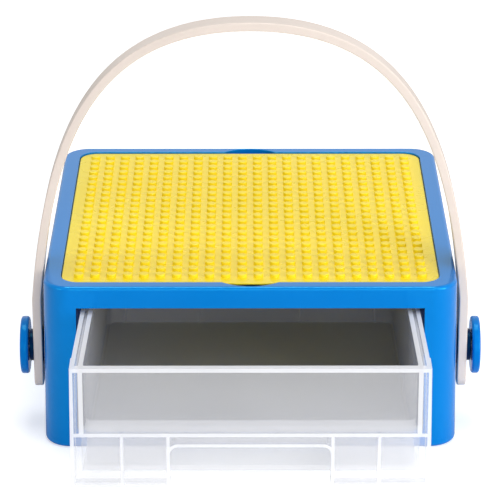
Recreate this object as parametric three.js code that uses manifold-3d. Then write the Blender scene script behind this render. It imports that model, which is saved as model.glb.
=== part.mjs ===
// A square carry case: a studded building plate lies in its rim, a two-level drawer slides out of its
// front, and a strap handle swings on a knob at each side.
// Lengths are in millimetres, +X to the right, +Y away from the drawer front, +Z up. The origin is on the
// table under the middle of the case. The drawer is pulled out, the handle upright and the plate seated.

import * as THREE from "three";
import { mergeVertices } from "three/addons/utils/BufferGeometryUtils.js";
import Module from "manifold-3d";

const wasm = await Module();
wasm.setup();

// Clearances that several pieces share
const SEAT_GAP = 0.3;
const CUT_OVERRUN = 4;

// How finely round shapes are divided
const CORNER_STEPS = 6;
const FILLET_STEPS = 2;
const ROUND_STEPS = 24;
const SMALL_STEPS = 12;
const ARCH_STEPS = 20;

// The plate: studs on the standard grid, with a plain margin round them and a tab over the front notch
const PLATE = {
  studPitch: 8,
  studsPerSide: 22,
  studRadius: 2.45,
  studHeight: 1.75,
  studSides: 5,
  margin: 4.35,
  thickness: 2.2,
  cornerRadius: 9,
  tabReach: 1.9,
  tabHalfWidth: 12.9,
};

// The case shell: its rim frames the plate, and its sides widen a little towards the table
const CASE = {
  height: 86,
  plateClearance: 0.35,
  rimSide: 8.3,
  rimFront: 7.2,
  rimStep: 0.7,
  cornerRadius: 13,
  wall: 2.6,
  topFillet: 1.75,
  bottomFillet: 2.4,
  baseFlare: 1.1,
  ledgeWidth: 6,
  ledgeThickness: 2.3,
  ledgeCornerRadius: 4,
  sillHeight: 9.9,
  notchDepth: 5.2,
  notchHalfWidth: 13.7,
  postInset: 5.9,
  postRadius: 4.5,
  postHeight: 24,
  postBoreDepth: 12,
};

// The drawer: a front skin as high as the opening, a tub behind it and a lip along each side
const DRAWER = {
  sideInset: 16.85,
  openingClearance: 0.45,
  headroom: 2.8,
  sillClearance: 1,
  skinThickness: 2.2,
  topDrop: 13.7,
  backRoom: 9.2,
  backNarrowing: 4.35,
  pulledOut: 64.9,
  tubInset: 3.75,
  tubWall: 2.2,
  tubRise: 2.7,
  tubFloor: 1.8,
  tubCornerRadius: 3,
  shelfRise: 28.1,
  shelfDepth: 10.1,
  shelfThickness: 1.8,
  lipThickness: 2.1,
  lipHeight: 6,
  grooveDepth: 1.6,
  grooveFloor: 1.6,
  rimDepth: 3.6,
  rimHeight: 2,
  returnDepth: 6.8,
  returnThickness: 1.5,
  pocketHalfWidth: 37.9,
  pocketHeight: 21,
  pocketRadius: 4,
  pocketWall: 1.6,
  ribOffset: 60.5,
  ribThickness: 1.2,
};

// The bottom cover: a plate inside the shell's walls, with runners that the drawer slides on
const BASE = {
  thickness: 3,
  runnerWidth: 2,
  runnerOffsets: [28, 68],
  runnerInset: 1,
  screwShankRadius: 1.5,
  screwShankLength: 11,
  screwHeadRadius: 3.2,
  screwHeadHeight: 1.2,
  screwClearance: 0.3,
  screwSink: 1.8,
};

// The guides: one upright wall each side of the drawer bay
const GUIDE = {
  sideClearance: 0.75,
  thickness: 2.2,
};

// The handle: a strap bent to an arch, widest at its legs
const HANDLE = {
  pivotInset: 33.9,
  pivotDrop: 45,
  thickness: 4.4,
  wallGap: 2.4,
  bendDrop: 16,
  rise: 125,
  legPull: 82,
  legLean: 7.4,
  crownPull: 78,
  endDrop: 19.5,
  endRadius: 6,
  legHalfWidth: 11,
  crownHalfWidth: 6,
  widenDrop: 2,
  widenLength: 84,
  boreClearance: 0.3,
};

// What the handle turns on: a bush against the case wall, a knob outside it, a washer and a screw inside
const PIVOT = {
  neckRadius: 8,
  flangeRadius: 10,
  knobRadius: 14.4,
  knobThickness: 4.1,
  knobRounding: 1.2,
  neckShow: 2.6,
  washerRadius: 7,
  washerThickness: 1.2,
  screwRadius: 2,
  screwHeadRadius: 4,
  screwHeadHeight: 2.4,
  screwClearance: 0.3,
  screwTipCover: 1.4,
};

// Places that follow from the sizes above
const PLATE_HALF = (PLATE.studPitch * PLATE.studsPerSide) / 2 + PLATE.margin;
const RIM_OPENING = PLATE_HALF + CASE.plateClearance;
const CASE_HALF_X = RIM_OPENING + CASE.rimSide;
const CASE_HALF_Y = RIM_OPENING + CASE.rimFront;
const BAY_HALF_X = CASE_HALF_X - CASE.wall;
const BAY_HALF_Y = CASE_HALF_Y - CASE.wall;
const BAY_CORNER = CASE.cornerRadius - CASE.wall;
const PLATE_TOP = CASE.height - CASE.rimStep;
const PLATE_BOTTOM = PLATE_TOP - PLATE.thickness;
const LEDGE_TOP = PLATE_BOTTOM - SEAT_GAP;
const LEDGE_BOTTOM = LEDGE_TOP - CASE.ledgeThickness;
const SKIN_BOTTOM = CASE.sillHeight + DRAWER.sillClearance;
const DRAWER_TOP = CASE.height - DRAWER.topDrop;
const DRAWER_HALF = CASE_HALF_X - DRAWER.sideInset;
const DRAWER_DEPTH = CASE_HALF_Y + BAY_HALF_Y - DRAWER.backRoom;
const TUB_HALF = DRAWER_HALF - DRAWER.tubInset;
const TUB_BOTTOM = SKIN_BOTTOM + DRAWER.tubRise;
const SHELF_TOP = SKIN_BOTTOM + DRAWER.shelfRise;
const RUNNER_TOP = TUB_BOTTOM - SEAT_GAP;
const POST_X = BAY_HALF_X - CASE.postInset;
const POST_Y = BAY_HALF_Y - CASE.postInset;
const PIVOT_Y = HANDLE.pivotInset - CASE_HALF_Y;
const PIVOT_Z = CASE.height - HANDLE.pivotDrop;
const LEG_OUTER = CASE_HALF_X + HANDLE.wallGap + HANDLE.thickness;
const LEG_END = PIVOT_Z - HANDLE.endDrop;
const BEND_Z = CASE.height - HANDLE.bendDrop;
const HANDLE_TOP = CASE.height + HANDLE.rise;
const KNOB_INNER = LEG_OUTER + PIVOT.neckShow;
const SIDES = { left: -1, right: 1 };

// Widens X evenly from the rim down to the table, as the mould's draft does.
function flareAt(z) {
  return 1 + (CASE.baseFlare / CASE_HALF_X) * (1 - z / CASE.height);
}

function flared(geometry) {
  const place = geometry.attributes.position;
  for (let i = 0; i < place.count; i++) {
    place.setX(i, place.getX(i) * flareAt(place.getZ(i)));
  }
  return geometry;
}

// Narrows X evenly from the drawer's front to its back.
function narrowed(geometry) {
  const place = geometry.attributes.position;
  const perLength = DRAWER.backNarrowing / (DRAWER_HALF * DRAWER_DEPTH);
  for (let i = 0; i < place.count; i++) {
    place.setX(i, place.getX(i) * (1 - perLength * place.getY(i)));
  }
  return geometry;
}

// A closed geometry as a solid that can be joined and cut
function solid(geometry) {
  const shape = geometry.clone();
  shape.deleteAttribute("normal");
  shape.deleteAttribute("uv");
  const merged = mergeVertices(shape);
  return new wasm.Manifold(
    new wasm.Mesh({
      numProp: 3,
      vertProperties: merged.attributes.position.array,
      triVerts: new Uint32Array(merged.index.array),
    }),
  );
}

// A solid as a geometry again
function geometryOf(body) {
  const mesh = body.getMesh();
  const geometry = new THREE.BufferGeometry();
  geometry.setAttribute("position", new THREE.BufferAttribute(new Float32Array(mesh.vertProperties), 3));
  geometry.setIndex(new THREE.BufferAttribute(new Uint32Array(mesh.triVerts), 1));
  return geometry;
}

function joined(geometries) {
  return wasm.Manifold.union(geometries.map(solid));
}

function cut(body, geometries) {
  return body.subtract(joined(geometries));
}

// A block between two corners
function block([x0, x1], [y0, y1], [z0, z1]) {
  const geometry = new THREE.BoxGeometry(x1 - x0, y1 - y0, z1 - z0);
  return geometry.translate((x0 + x1) / 2, (y0 + y1) / 2, (z0 + z1) / 2);
}

// A block and its mirror image on the other side of the middle
function blockPair([x0, x1], y, z) {
  return [block([x0, x1], y, z), block([-x1, -x0], y, z)];
}

// An upright round bar between two heights
function upright(radius, x, y, [z0, z1], steps = ROUND_STEPS) {
  const geometry = new THREE.CylinderGeometry(radius, radius, z1 - z0, steps);
  return geometry.rotateX(Math.PI / 2).translate(x, y, (z0 + z1) / 2);
}

// A rectangle with round corners about the point (0, middleY)
function roundedRectangle(halfX, halfY, radius, middleY = 0) {
  const shape = new THREE.Shape();
  const near = middleY - halfY;
  const far = middleY + halfY;
  shape.moveTo(radius - halfX, near);
  shape.lineTo(halfX - radius, near);
  shape.absarc(halfX - radius, near + radius, radius, -Math.PI / 2, 0);
  shape.lineTo(halfX, far - radius);
  shape.absarc(halfX - radius, far - radius, radius, 0, Math.PI / 2);
  shape.lineTo(radius - halfX, far);
  shape.absarc(radius - halfX, far - radius, radius, Math.PI / 2, Math.PI);
  shape.lineTo(-halfX, near + radius);
  shape.absarc(radius - halfX, near + radius, radius, Math.PI, 1.5 * Math.PI);
  shape.closePath();
  return shape;
}

// A flat outline raised between two heights, with rounded edges if a fillet is given
function raised(shape, [z0, z1], fillet = 0) {
  const geometry = new THREE.ExtrudeGeometry(shape, {
    depth: z1 - z0 - 2 * fillet,
    curveSegments: CORNER_STEPS,
    bevelEnabled: fillet > 0,
    bevelThickness: fillet,
    bevelSize: fillet,
    bevelOffset: -fillet,
    bevelSegments: FILLET_STEPS,
  });
  return geometry.translate(0, 0, z0 + fillet);
}

// A turned shape whose axis points out of the case side: distances along it are distances from the middle.
function turned(side, profile, steps = ROUND_STEPS) {
  const points = profile.map(([radius, along]) => new THREE.Vector2(radius, along));
  const geometry = new THREE.LatheGeometry(points, steps);
  geometry.rotateZ((-side * Math.PI) / 2);
  return geometry.translate(0, PIVOT_Y, PIVOT_Z);
}

function discProfile(radius, from, to) {
  return [
    [0, from],
    [radius, from],
    [radius, to],
    [0, to],
  ];
}

// The radius of the circle whose segment has this half width and this reach
function segmentRadius(halfWidth, reach) {
  return (halfWidth * halfWidth + reach * reach) / (2 * reach);
}

// Case shell

// The outer body: its upper and lower halves overlap, so that each end has its own fillet.
function caseBody() {
  const outline = roundedRectangle(CASE_HALF_X, CASE_HALF_Y, CASE.cornerRadius);
  const middle = CASE.height / 2;
  return joined([
    raised(outline, [middle - CASE.topFillet, CASE.height], CASE.topFillet),
    raised(outline, [0, middle + CASE.bottomFillet], CASE.bottomFillet),
  ]);
}

// A finger notch in the rim, at the front or the back
function rimNotch(direction) {
  const radius = segmentRadius(CASE.notchHalfWidth, CASE.notchDepth);
  const centre = direction * (RIM_OPENING + CASE.notchDepth - radius);
  return upright(radius, 0, centre, [LEDGE_TOP, CASE.height + CUT_OVERRUN], 2 * ROUND_STEPS);
}

function pivotBores() {
  const radius = PIVOT.screwRadius + PIVOT.screwClearance;
  const reach = CASE_HALF_X + CUT_OVERRUN;
  return Object.values(SIDES).map((side) => turned(side, discProfile(radius, 0, reach), SMALL_STEPS));
}

// The corners of the bay, where posts take the base screws
function corners() {
  const places = [];
  for (const sideX of Object.values(SIDES)) {
    for (const sideY of Object.values(SIDES)) {
      places.push([sideX * POST_X, sideY * POST_Y]);
    }
  }
  return places;
}

function caseShell() {
  const below = -CUT_OVERRUN;
  const above = CASE.height + CUT_OVERRUN;
  const openingTop = DRAWER_TOP + DRAWER.headroom;
  const openingHalf = DRAWER_HALF + DRAWER.openingClearance;
  const ledgeHalf = RIM_OPENING - CASE.ledgeWidth;
  const rimCorner = PLATE.cornerRadius + CASE.plateClearance;
  const bay = roundedRectangle(BAY_HALF_X, BAY_HALF_Y, BAY_CORNER);
  const hollow = cut(caseBody(), [
    raised(bay, [below, LEDGE_BOTTOM]),
    raised(roundedRectangle(ledgeHalf, ledgeHalf, CASE.ledgeCornerRadius), [0, above]),
    raised(roundedRectangle(RIM_OPENING, RIM_OPENING, rimCorner), [LEDGE_TOP, above]),
    block([-openingHalf, openingHalf], [-CASE_HALF_Y - CUT_OVERRUN, 0], [CASE.sillHeight, openingTop]),
    rimNotch(-1),
    rimNotch(1),
    ...pivotBores(),
  ]);
  const postBottom = BASE.thickness + SEAT_GAP;
  const postTop = postBottom + CASE.postHeight;
  const heights = [postBottom, postTop];
  const posts = corners().map(([x, y]) => upright(CASE.postRadius, x, y, heights, SMALL_STEPS));
  const bore = BASE.screwShankRadius + BASE.screwClearance;
  const depths = [0, postBottom + CASE.postBoreDepth];
  const bores = corners().map(([x, y]) => upright(bore, x, y, depths, SMALL_STEPS));
  const outer = caseBody();
  const withPosts = hollow.add(joined(posts).intersect(outer));
  return flared(geometryOf(cut(withPosts, bores)));
}

// Bottom cover with its four screws

function caseBase() {
  const halfX = BAY_HALF_X - SEAT_GAP;
  const halfY = BAY_HALF_Y - SEAT_GAP;
  const floor = raised(roundedRectangle(halfX, halfY, BAY_CORNER - SEAT_GAP), [0, BASE.thickness]);
  const runnerBack = halfY - BASE.runnerInset;
  const runnerFront = BASE.runnerInset + DRAWER.skinThickness + DRAWER.shelfDepth - CASE_HALF_Y;
  const runners = BASE.runnerOffsets.flatMap((offset) => {
    const across = [offset - BASE.runnerWidth / 2, offset + BASE.runnerWidth / 2];
    return blockPair(across, [runnerFront, runnerBack], [0, RUNNER_TOP]);
  });
  const through = BASE.thickness + CUT_OVERRUN;
  const holes = corners().flatMap(([x, y]) => [
    upright(BASE.screwShankRadius + BASE.screwClearance, x, y, [-CUT_OVERRUN, through], SMALL_STEPS),
    upright(BASE.screwHeadRadius + BASE.screwClearance, x, y, [-CUT_OVERRUN, BASE.screwSink], SMALL_STEPS),
  ]);
  return flared(geometryOf(cut(joined([floor, ...runners]), holes)));
}

function baseScrew(x, y) {
  const headTop = BASE.screwSink - SEAT_GAP;
  const headBottom = headTop - BASE.screwHeadHeight;
  const shank = [headTop - BASE.screwHeadHeight / 2, headTop + BASE.screwShankLength];
  const atFloor = x * flareAt(headTop);
  return geometryOf(
    joined([
      upright(BASE.screwHeadRadius, atFloor, y, [headBottom, headTop], SMALL_STEPS),
      upright(BASE.screwShankRadius, atFloor, y, shank, SMALL_STEPS),
    ]),
  );
}

// Drawer guides: the bay's side walls, between the bottom cover and the ledge

function guideWall(side) {
  const inner = DRAWER_HALF + GUIDE.sideClearance;
  const outer = inner + GUIDE.thickness;
  const end = BAY_HALF_Y - SEAT_GAP;
  const heights = [BASE.thickness + SEAT_GAP, LEDGE_BOTTOM - SEAT_GAP];
  const across = side > 0 ? [inner, outer] : [-outer, -inner];
  return flared(block(across, [-end, end], heights));
}

// Building plate

function plateStuds() {
  const first = (-PLATE.studPitch * (PLATE.studsPerSide - 1)) / 2;
  const heights = [PLATE_TOP - PLATE.thickness / 2, PLATE_TOP + PLATE.studHeight];
  const studs = [];
  for (let row = 0; row < PLATE.studsPerSide; row++) {
    for (let column = 0; column < PLATE.studsPerSide; column++) {
      const x = first + column * PLATE.studPitch;
      const y = first + row * PLATE.studPitch;
      studs.push(upright(PLATE.studRadius, x, y, heights, PLATE.studSides));
    }
  }
  return studs;
}

function buildingPlate() {
  const heights = [PLATE_BOTTOM, PLATE_TOP];
  const board = raised(roundedRectangle(PLATE_HALF, PLATE_HALF, PLATE.cornerRadius), heights);
  const tabRadius = segmentRadius(PLATE.tabHalfWidth, PLATE.tabReach);
  const tabCentre = tabRadius - PLATE_HALF - PLATE.tabReach;
  const tab = upright(tabRadius, 0, tabCentre, heights, 2 * ROUND_STEPS);
  return geometryOf(joined([board, tab, ...plateStuds()]));
}

// Drawer, with Y counted from the skin's outer face

function drawerSkin() {
  const inner = DRAWER.skinThickness;
  const half = DRAWER_HALF;
  const returnTop = SKIN_BOTTOM + DRAWER.returnThickness;
  const edge = half - DRAWER.lipThickness;
  const front = inner + DRAWER.shelfDepth;
  return flared(
    geometryOf(
      joined([
        block([-half, half], [0, inner], [SKIN_BOTTOM, DRAWER_TOP]),
        block([-half, half], [0, DRAWER.rimDepth], [DRAWER_TOP - DRAWER.rimHeight, DRAWER_TOP]),
        block([-half, half], [0, DRAWER.returnDepth], [SKIN_BOTTOM, returnTop]),
        ...blockPair([edge, half], [0, front], [SKIN_BOTTOM, DRAWER_TOP]),
      ]),
    ),
  );
}

// The outside of the tub: full depth above the shelf, set back below it
function tubOutside() {
  const half = TUB_HALF;
  const start = DRAWER.skinThickness / 2;
  const setBack = DRAWER.skinThickness + DRAWER.shelfDepth;
  return [
    block([-half, half], [start, DRAWER_DEPTH], [SHELF_TOP - DRAWER.shelfThickness, DRAWER_TOP]),
    block([-half, half], [setBack, DRAWER_DEPTH], [TUB_BOTTOM, SHELF_TOP]),
  ];
}

function tubHollow() {
  const half = TUB_HALF - DRAWER.tubWall;
  const back = DRAWER_DEPTH - DRAWER.tubWall;
  const upperFront = DRAWER.skinThickness;
  const lowerFront = upperFront + DRAWER.shelfDepth + DRAWER.tubWall;
  const room = (front, heights) => {
    const outline = roundedRectangle(half, (back - front) / 2, DRAWER.tubCornerRadius, (back + front) / 2);
    return raised(outline, heights);
  };
  return [
    room(upperFront, [SHELF_TOP, DRAWER_TOP + CUT_OVERRUN]),
    room(lowerFront, [TUB_BOTTOM + DRAWER.tubFloor, DRAWER_TOP + CUT_OVERRUN]),
  ];
}

// A lip along each side, joined to the tub by the floor of a shallow groove
function sideLips() {
  const half = DRAWER_HALF;
  const start = DRAWER.skinThickness / 2;
  const grooveTop = DRAWER_TOP - DRAWER.grooveDepth;
  const tubSide = TUB_HALF - DRAWER.tubWall / 2;
  const along = [start, DRAWER_DEPTH];
  return [
    ...blockPair([half - DRAWER.lipThickness, half], along, [DRAWER_TOP - DRAWER.lipHeight, DRAWER_TOP]),
    ...blockPair([tubSide, half], along, [grooveTop - DRAWER.grooveFloor, grooveTop]),
  ];
}

// The finger pocket: an arch-topped cut in the skin with walls that run back to the tub
function pocketOutline(grow) {
  const half = DRAWER.pocketHalfWidth + grow;
  const rise = DRAWER.pocketHeight + grow;
  const radius = DRAWER.pocketRadius + grow;
  return roundedRectangle(half, rise, radius, SKIN_BOTTOM);
}

// Turns an outline drawn across X and Z into a body that runs from y0 to y1.
function standing(shape, [y0, y1]) {
  return raised(shape, [0, y1 - y0]).rotateX(Math.PI / 2).translate(0, y1, 0);
}

function drawerTub() {
  const front = DRAWER.skinThickness + DRAWER.shelfDepth;
  const weld = DRAWER.tubWall / 2;
  const ribs = blockPair(
    [DRAWER.ribOffset - DRAWER.ribThickness / 2, DRAWER.ribOffset + DRAWER.ribThickness / 2],
    [DRAWER.skinThickness / 2, front + weld],
    [TUB_BOTTOM, SHELF_TOP - DRAWER.shelfThickness / 2],
  );
  const tub = solid(narrowed(geometryOf(cut(joined(tubOutside()), tubHollow()))));
  const lips = solid(narrowed(geometryOf(joined(sideLips()))));
  const pocketWalls = solid(standing(pocketOutline(DRAWER.pocketWall), [0, front + weld]));
  const belowSkin = solid(
    block(
      [-DRAWER_HALF, DRAWER_HALF],
      [-CUT_OVERRUN, front + CUT_OVERRUN],
      [-DRAWER.pocketHeight, SKIN_BOTTOM],
    ),
  );
  const pocket = solid(standing(pocketOutline(0), [-CUT_OVERRUN, front]));
  const bottomPocket = solid(
    block(
      [-DRAWER.pocketHalfWidth - DRAWER.pocketWall, DRAWER.pocketHalfWidth + DRAWER.pocketWall],
      [front, front + weld],
      [SKIN_BOTTOM - CUT_OVERRUN, TUB_BOTTOM],
    ),
  );
  return geometryOf(
    solid(drawerSkin())
      .add(tub)
      .add(lips)
      .add(joined(ribs))
      .add(pocketWalls.subtract(belowSkin))
      .subtract(pocket)
      .subtract(bottomPocket),
  );
}

// Handle strap

// Half of the strap's outer line, from its end up to the middle of the crown
function strapOuterHalf() {
  const path = new THREE.CurvePath();
  const bend = new THREE.Vector2(LEG_OUTER, BEND_Z);
  path.add(new THREE.LineCurve(new THREE.Vector2(LEG_OUTER, LEG_END), bend));
  path.add(
    new THREE.CubicBezierCurve(
      bend,
      new THREE.Vector2(LEG_OUTER - HANDLE.legLean, BEND_Z + HANDLE.legPull),
      new THREE.Vector2(HANDLE.crownPull, HANDLE_TOP),
      new THREE.Vector2(0, HANDLE_TOP),
    ),
  );
  const [leg, arch] = path.curves;
  const points = [leg.getPoint(0), leg.getPoint(1)];
  const tangents = [leg.getTangent(0), arch.getTangent(0)];
  for (let i = 1; i <= ARCH_STEPS; i++) {
    points.push(arch.getPoint(i / ARCH_STEPS));
    tangents.push(arch.getTangent(i / ARCH_STEPS));
  }
  return points.map((point, i) => ({ point, tangent: tangents[i] }));
}

// The arch seen from the front: the outer line, and the same line moved in by the strap's thickness
function strapArch() {
  const half = strapOuterHalf();
  const outer = half.map(({ point }) => point);
  const inner = half.map(({ point, tangent }) => {
    const inward = new THREE.Vector2(-tangent.y, tangent.x);
    return point.clone().addScaledVector(inward, HANDLE.thickness);
  });
  const mirror = (points) => points.slice(0, -1).map(({ x, y }) => new THREE.Vector2(-x, y));
  return new THREE.Shape([
    ...outer,
    ...mirror(outer).reverse(),
    ...mirror(inner),
    ...inner.slice().reverse(),
  ]);
}

// The strap seen from the side, as a shape in Y and Z: narrow at the crown, wider at the rounded leg end
function strapSide() {
  const above = HANDLE_TOP + CUT_OVERRUN;
  const wide = HANDLE.legHalfWidth;
  const narrow = HANDLE.crownHalfWidth;
  const wideTo = CASE.height - HANDLE.widenDrop;
  const narrowFrom = wideTo + HANDLE.widenLength;
  const half = (wideTo + narrowFrom) / 2;
  const round = HANDLE.endRadius;
  const shape = new THREE.Shape();
  shape.moveTo(round - wide, LEG_END);
  shape.lineTo(wide - round, LEG_END);
  shape.absarc(wide - round, LEG_END + round, round, -Math.PI / 2, 0);
  shape.lineTo(wide, wideTo);
  shape.bezierCurveTo(wide, half, narrow, half, narrow, narrowFrom);
  shape.lineTo(narrow, above);
  shape.lineTo(-narrow, above);
  shape.lineTo(-narrow, narrowFrom);
  shape.bezierCurveTo(-narrow, half, -wide, half, -wide, wideTo);
  shape.lineTo(-wide, LEG_END + round);
  shape.absarc(round - wide, LEG_END + round, round, Math.PI, 1.5 * Math.PI);
  shape.closePath();
  return shape;
}

function handleStrap() {
  const wide = HANDLE.legHalfWidth + CUT_OVERRUN;
  const reach = LEG_OUTER + CUT_OVERRUN;
  const arch = solid(standing(strapArch(), [-wide, wide]));
  const sideBody = raised(strapSide(), [-reach, reach]).rotateX(Math.PI / 2).rotateZ(Math.PI / 2);
  const strap = solid(geometryOf(arch.intersect(solid(sideBody))).translate(0, PIVOT_Y, 0));
  const eye = PIVOT.neckRadius + HANDLE.boreClearance;
  const eyes = Object.values(SIDES).map((side) => turned(side, discProfile(eye, 0, reach)));
  return geometryOf(cut(strap, eyes));
}

// Pivots: how far from the middle each face of the stack lies

const FLANGE_INNER = CASE_HALF_X * flareAt(PIVOT_Z - PIVOT.flangeRadius) + SEAT_GAP;
const FLANGE_OUTER = LEG_OUTER - HANDLE.thickness - SEAT_GAP;
const WASHER_OUTER = BAY_HALF_X * flareAt(PIVOT_Z + PIVOT.washerRadius) - SEAT_GAP;
const WASHER_INNER = WASHER_OUTER - PIVOT.washerThickness;
const HEAD_OUTER = WASHER_INNER - SEAT_GAP;
const HEAD_INNER = HEAD_OUTER - PIVOT.screwHeadHeight;
const KNOB_OUTER = KNOB_INNER + PIVOT.knobThickness;
const BORE_END = KNOB_OUTER - PIVOT.screwTipCover;

function pivotBush(side) {
  const bore = PIVOT.screwRadius + PIVOT.screwClearance;
  return turned(side, [
    [bore, FLANGE_INNER],
    [PIVOT.flangeRadius, FLANGE_INNER],
    [PIVOT.flangeRadius, FLANGE_OUTER],
    [PIVOT.neckRadius, FLANGE_OUTER],
    [PIVOT.neckRadius, KNOB_INNER - SEAT_GAP],
    [bore, KNOB_INNER - SEAT_GAP],
    [bore, FLANGE_INNER],
  ]);
}

function knob(side) {
  const bore = PIVOT.screwRadius + PIVOT.screwClearance;
  const round = PIVOT.knobRounding;
  const rimCentre = PIVOT.knobRadius - round;
  const edge = [KNOB_INNER + round, KNOB_OUTER - round].flatMap((centre, end) =>
    Array.from({ length: FILLET_STEPS + 1 }, (_, i) => {
      const angle = ((end - 1 + i / FILLET_STEPS) * Math.PI) / 2;
      return [rimCentre + round * Math.cos(angle), centre + round * Math.sin(angle)];
    }),
  );
  return turned(side, [[0, BORE_END], [bore, BORE_END], [bore, KNOB_INNER], ...edge, [0, KNOB_OUTER]]);
}

function pivotWasher(side) {
  const bore = PIVOT.screwRadius + PIVOT.screwClearance;
  const profile = [
    [bore, WASHER_INNER],
    [PIVOT.washerRadius, WASHER_INNER],
    [PIVOT.washerRadius, WASHER_OUTER],
    [bore, WASHER_OUTER],
    [bore, WASHER_INNER],
  ];
  return turned(side, profile, SMALL_STEPS);
}

function pivotScrew(side) {
  const profile = [
    [0, HEAD_INNER],
    [PIVOT.screwHeadRadius, HEAD_INNER],
    [PIVOT.screwHeadRadius, HEAD_OUTER],
    [PIVOT.screwRadius, HEAD_OUTER],
    [PIVOT.screwRadius, BORE_END - SEAT_GAP],
    [0, BORE_END - SEAT_GAP],
  ];
  return turned(side, profile, SMALL_STEPS);
}

// Materials

function plastic(color, roughness) {
  return new THREE.MeshStandardMaterial({ color, roughness, metalness: 0 });
}

function frosted() {
  const material = plastic(0xeef0f7, 0.35);
  material.transparent = true;
  material.opacity = 0.5;
  return material;
}

function steel() {
  return new THREE.MeshStandardMaterial({ color: 0xa9adb2, roughness: 0.35, metalness: 1 });
}

const CASE_BLUE = 0x0074d0;
const KNOB_BLUE = 0x0068c8;
const INNER_BLUE = 0x0a4f9e;
const BUSH_NAVY = 0x0a1d4a;
const STUD_YELLOW = 0xffdb33;
const STRAP_CREAM = 0xe3dacb;
const GLOSSY_ROUGHNESS = 0.22;
const SATIN_ROUGHNESS = 0.45;

// Assembly

function piece(name, geometry, material) {
  const mesh = new THREE.Mesh(geometry, material);
  mesh.name = name;
  return mesh;
}

function housing() {
  const group = new THREE.Group();
  group.add(piece("case_shell", caseShell(), plastic(CASE_BLUE, GLOSSY_ROUGHNESS)));
  group.add(piece("case_base", caseBase(), plastic(INNER_BLUE, SATIN_ROUGHNESS)));
  corners().forEach(([x, y], i) => {
    group.add(piece(`base_screw_${i + 1}`, baseScrew(x, y), steel()));
  });
  for (const [name, side] of Object.entries(SIDES)) {
    group.add(piece(`guide_wall_${name}`, guideWall(side), plastic(INNER_BLUE, SATIN_ROUGHNESS)));
    group.add(piece(`pivot_bush_${name}`, pivotBush(side), plastic(BUSH_NAVY, SATIN_ROUGHNESS)));
    group.add(piece(`knob_${name}`, knob(side), plastic(KNOB_BLUE, GLOSSY_ROUGHNESS)));
    group.add(piece(`pivot_washer_${name}`, pivotWasher(side), steel()));
    group.add(piece(`pivot_screw_${name}`, pivotScrew(side), steel()));
  }
  return group;
}

function drawer() {
  const group = new THREE.Group();
  group.position.y = -CASE_HALF_Y - DRAWER.pulledOut;
  group.add(piece("drawer_tub", drawerTub(), frosted()));
  return group;
}

const part = new THREE.Group();
part.add(housing());
part.add(drawer());
part.add(piece("building_plate", buildingPlate(), plastic(STUD_YELLOW, GLOSSY_ROUGHNESS)));
part.add(piece("handle_strap", handleStrap(), plastic(STRAP_CREAM, SATIN_ROUGHNESS)));

export default part;
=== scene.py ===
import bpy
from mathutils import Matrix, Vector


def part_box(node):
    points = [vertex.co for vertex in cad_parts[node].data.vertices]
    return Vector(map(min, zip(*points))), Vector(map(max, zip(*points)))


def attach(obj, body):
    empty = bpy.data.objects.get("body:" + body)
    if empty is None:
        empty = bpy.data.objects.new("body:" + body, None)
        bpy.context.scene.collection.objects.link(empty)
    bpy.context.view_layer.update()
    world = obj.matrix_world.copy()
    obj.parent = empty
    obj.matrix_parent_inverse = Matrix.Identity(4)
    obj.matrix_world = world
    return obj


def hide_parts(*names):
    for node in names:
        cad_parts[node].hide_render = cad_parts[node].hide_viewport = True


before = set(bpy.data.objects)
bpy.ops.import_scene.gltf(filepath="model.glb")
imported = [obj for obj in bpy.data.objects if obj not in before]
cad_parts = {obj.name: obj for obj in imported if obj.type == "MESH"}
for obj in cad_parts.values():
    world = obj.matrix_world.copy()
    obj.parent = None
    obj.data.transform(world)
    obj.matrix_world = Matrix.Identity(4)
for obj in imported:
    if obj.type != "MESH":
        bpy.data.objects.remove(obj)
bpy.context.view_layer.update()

import math

import bmesh
import bpy
import numpy as np
from bpy.props import FloatProperty, FloatVectorProperty, IntProperty, PointerProperty
from bpy.types import Operator, Panel, PropertyGroup

bl_info = {
    "name": "Studded carry case",
    "version": (1, 0, 0),
    "blender": (4, 5, 0),
    "location": "View3D > Sidebar > Carry Case",
    "description": "Builds a carry case with a studded plate, a frosted drawer and a strap handle",
    "category": "Object",
}

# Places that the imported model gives

CASE_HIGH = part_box("case_shell")[1]
PLATE_LOW, PLATE_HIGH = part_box("building_plate")
STRAP_LOW, STRAP_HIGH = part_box("handle_strap")
BUSH_LOW, BUSH_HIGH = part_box("pivot_bush_right")
KNOB_LOW, KNOB_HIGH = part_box("knob_right")
PIVOT_Y = (KNOB_LOW.y + KNOB_HIGH.y) / 2
PIVOT_Z = (KNOB_LOW.z + KNOB_HIGH.z) / 2

# Small sizes in metres, and angles in degrees

CLOSE_AT_NOTCH = 0.0147  # half the stretch of close points round a finger notch
CLOSE_AT_TAB = 0.0137  # the same round the plate's tab
WIDE_FROM, WIDE_TO = 0.022, 0.078  # where the wide points beside that stretch begin and end
STUD_SINK = 0.0003  # how deep a stud's side reaches into the board
LEG_END_HEIGHT = 0.021  # from the pivot up to where a leg's end meets the arch
KNOB_GAP = 0.0003  # between a knob and its bush
KNOB_FACE = 0.0016  # thickness of a knob's outer face over the screw's hole
DISH_LIP, DISH_LIP_DROP = 0.0006, 0.0001  # width and drop of the lip round a knob's dish
DISH_SLOPE = 0.0008  # width of the slope inside that lip
BUSH_EDGE = 0.0003  # bevel of a bush's edges
FINISH_REACH = 0.0005  # how near the drawer's top or front a face with that finish lies
SEAM = 0.000001  # points nearer than this are one point
SOFT_FROM = 38  # angle between two faces from which their edge is softened
NOISE_LOW, NOISE_HIGH = 0.3, 0.7  # the values that a noise mostly keeps to
WHITE = (1, 1, 1, 1)

# The photograph's camera: place and farthest view in metres, look down and turn in degrees, lens in mm

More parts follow.
